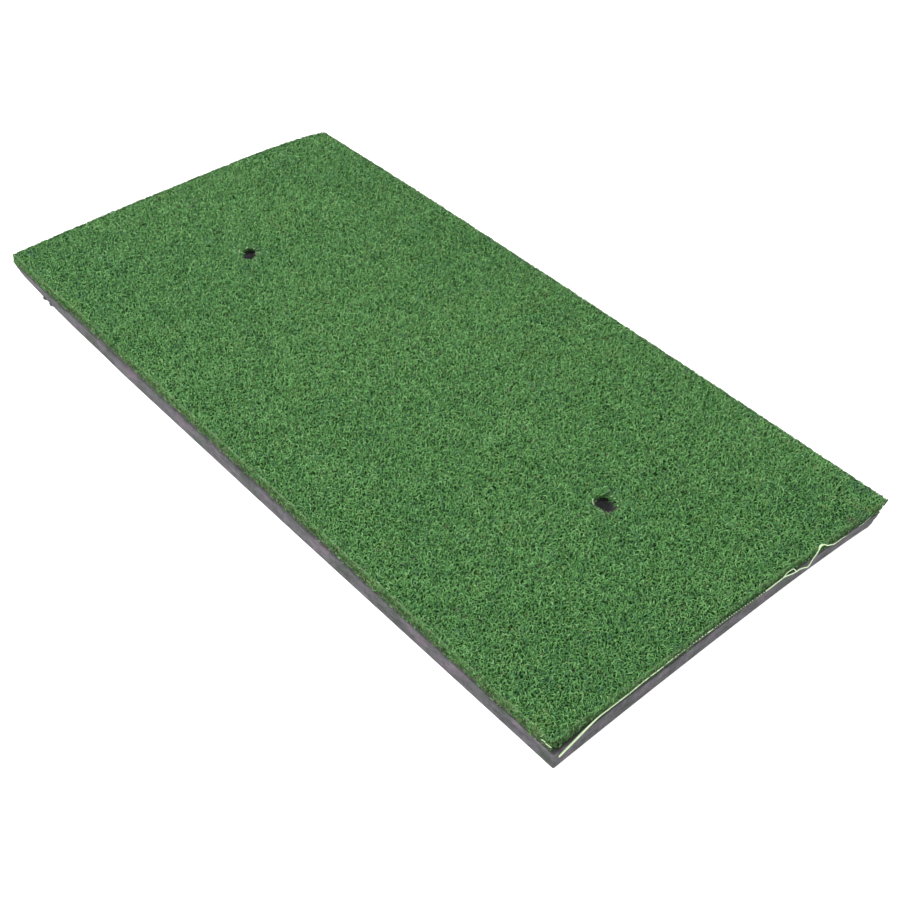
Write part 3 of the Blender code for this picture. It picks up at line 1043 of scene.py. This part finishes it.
def add_pile(material):
    """The curled fibres, in zones of the mat so that no piece is too heavy."""
    rng = np.random.default_rng(3)
    x, y = even_scatter(rng, STRAND_COUNT, HALF_LENGTH, HALF_WIDTH)
    inside = outside_corner(x, y, TURF_CORNER_RADII) < -0.0004
    inside &= hole_distance(x, y) > HOLE_RADIUS + 0.0004
    x, y = x[inside], y[inside]
    field = len(x)
    peak = PILE_HIGH.z - PILE_DEPTH * (0.02 + 0.36 * rng.random(field) ** 1.5)
    low = PILE_LOW.z + PILE_DEPTH * rng.uniform(0.14, 0.50, field)
    centre = np.concatenate([strand_field(rng, x, y, peak, low), edge_strands(rng)])
    keep_in_turf(centre, rng.uniform(-0.0006, 0.0001, (len(centre), 1)))
    centre = np.concatenate([centre, hole_strands(rng)])
    count = len(centre)
    x, y = centre[..., 0].mean(axis=1), centre[..., 1].mean(axis=1)
    # Height in the pile, which sets each fibre point's painted shade on the shade ramp.
    up = np.clip((centre[..., 2] - PILE_LOW.z) / PILE_DEPTH, 0.01, 0.99)
    at_side = slice(field, field + EDGE_STRAND_COUNT)
    near_side = y < -HALF_WIDTH + 0.0030
    # Edge and hole strands get a random painted shade, never the deepest, and near-side strands are
    # lifted further as painted light on that side.
    up[field:] = rng.uniform(0.36, 0.99, (count - field, 1))
    up[at_side] = np.where(near_side[at_side, None], 0.46 + 0.53 * up[at_side], up[at_side])
    hang = rng.uniform(0.3, 1.5, (count, 1))
    centre[..., 2] -= hang * droop(centre[..., 0], centre[..., 1], centre[..., 2])
    centre[..., 0], centre[..., 1] = turf_cut(centre[..., 0], centre[..., 1], centre[..., 2])
    taper = 0.55 + 0.45 * np.sin(math.pi * (0.08 + 0.84 * ALONG_STRAND)) ** 0.6
    half_width = rng.uniform(*STRAND_WIDTHS, count)[:, None] / 2 * taper[None, :]
    twist = rng.normal(0, 0.45, count)[:, None]
    roll = twist + rng.normal(0, 0.5, count)[:, None] * (ALONG_STRAND - 0.5)
    side = ribbon_sides(centre, half_width, roll)
    column = dye_of(rng, x, y)
    faded = rng.random(EDGE_STRAND_COUNT) < np.where(near_side[at_side], 0.60, 0.40)
    column[at_side] = np.where(faded, rng.uniform(0.93, 0.99, EDGE_STRAND_COUNT), column[at_side])
    zone_x = np.clip((x + HALF_LENGTH) / MAT_LENGTH * ZONES_LONG, 0, ZONES_LONG - 1).astype(int)
    zone_y = np.clip((y + HALF_WIDTH) / MAT_WIDTH * ZONES_WIDE, 0, ZONES_WIDE - 1).astype(int)
    for along in range(ZONES_LONG):
        for across in range(ZONES_WIDE):
            mine = (zone_x == along) & (zone_y == across)
            points, faces = ribbons(centre[mine], side[mine])
            uv = ribbon_uv(column[mine], 0.004, up[mine])
            name = f"pile_zone_{along + 1}_{across + 1}"
            stand_for(mesh_object(name, points, faces, material, uv), "pile", "turf_pile")


def smooth_curve(points, per_span):
    """Closely spaced points on a Catmull-Rom curve through the given ones."""
    ends = np.concatenate([[2 * points[0] - points[1]], points, [2 * points[-1] - points[-2]]])
    share = np.arange(per_span)[:, None] / per_span
    found = []
    for before, start, end, after in zip(ends, ends[1:], ends[2:], ends[3:]):
        pull = (end - before) * share
        bend = (2 * before - 5 * start + 4 * end - after) * share**2
        twist = (3 * start - before - 3 * end + after) * share**3
        found.append((2 * start + pull + bend + twist) / 2)
    found.append(points[-1:])
    return np.concatenate(found)


def tape_tube(name, line, width, thickness, roll, material):
    """A closed flat tube along a line. Width, thickness and roll are given at each point.

    At roll 0 its wide side lies across its run, flat against the end face at +X.
    """
    around, along = 12, len(line)
    run = unit(np.gradient(line, axis=0))
    thin = unit(np.array([1.0, 0.0, 0.0]) - run * run[:, :1])
    wide = np.cross(thin, run)
    turned_wide = wide * np.cos(roll)[:, None] + thin * np.sin(roll)[:, None]
    turned_thin = thin * np.cos(roll)[:, None] - wide * np.sin(roll)[:, None]
    angle = np.arange(around) / around * 2 * math.pi
    across = turned_wide[:, None] * (np.cos(angle) * width[:, None] / 2)[..., None]
    through = turned_thin[:, None] * (np.sin(angle) * thickness[:, None] / 2)[..., None]
    points = np.concatenate([(line[:, None] + across + through).reshape(-1, 3), line[:1], line[-1:]])
    index = np.arange(along * around).reshape(along, around)
    turned = np.roll(index, -1, axis=1)
    walls = np.stack([index[:-1], turned[:-1], turned[1:], index[1:]], axis=2)
    faces = walls.reshape(-1, 4).tolist()
    tip, tail = along * around, along * around + 1
    faces += [(tip, b, a) for a, b in zip(index[0].tolist(), turned[0].tolist())]
    faces += [(tail, a, b) for a, b in zip(index[-1].tolist(), turned[-1].tolist())]
    piece = solid_object(name, points.tolist(), faces)
    piece.data.shade_smooth()
    piece.data.materials.append(material)
    return piece


def yarn_material():
    finish = Finish("pale_yarn", 0.45, 0.4)
    fine = finish.noise(1.0, 3.0, finish.place((1500.0, 350.0, 1500.0)))
    stops = [(0.30, (0.56, 0.76, 0.42)), (0.52, (0.70, 0.90, 0.56)), (0.70, (0.78, 0.95, 0.66))]
    finish.bump(fine, 0.00012)
    return finish.use(finish.ramp(fine, stops), finish.spread(fine, 0.4, 0.6))


def add_yarn():
    """The pulled yarn as a limp cord, and the strand split off it."""
    material = yarn_material()
    right_end = np.array([HALF_LENGTH, 0.0, 0.0])
    route = right_end + YARN_ROUTE
    line = smooth_curve(route, 8)
    y = line[:, 1]
    knot = np.exp(-(((y - 0.0820) / 0.0022) ** 2))
    width = 0.00085 + 0.0005 * ease(-y, 0.108, 0.140) + 0.0007 * knot
    width -= 0.0003 * ease(y, 0.088, 0.110)
    thickness = 0.00055 + 0.0006 * knot + 0.00008 * np.sin(y * 900.0)
    roll = -0.75 + 0.25 * np.sin(y * 160.0)
    yarn = tape_tube("pulled_yarn", line, width, thickness, roll, material)
    stand_for(yarn, "yarn", "loose_edge_yarn")

    split_line = smooth_curve(right_end + SPLIT_ROUTE, 8)
    even = np.ones(len(split_line))
    split = tape_tube("split_strand", split_line, 0.0006 * even, 0.0004 * even, 0.0 * even, material)
    stand_for(split, "yarn")


add_camera()
add_stage()
add_yarn()
add_foam()
add_glue()
add_coat()
tape = tape_material()
add_scrim(tape)
add_tape_ends(tape)
add_roots()
pile = pile_material()
add_rim(pile)
add_hole_collars(pile)
add_pile(pile)

bpy.context.view_layer.update()
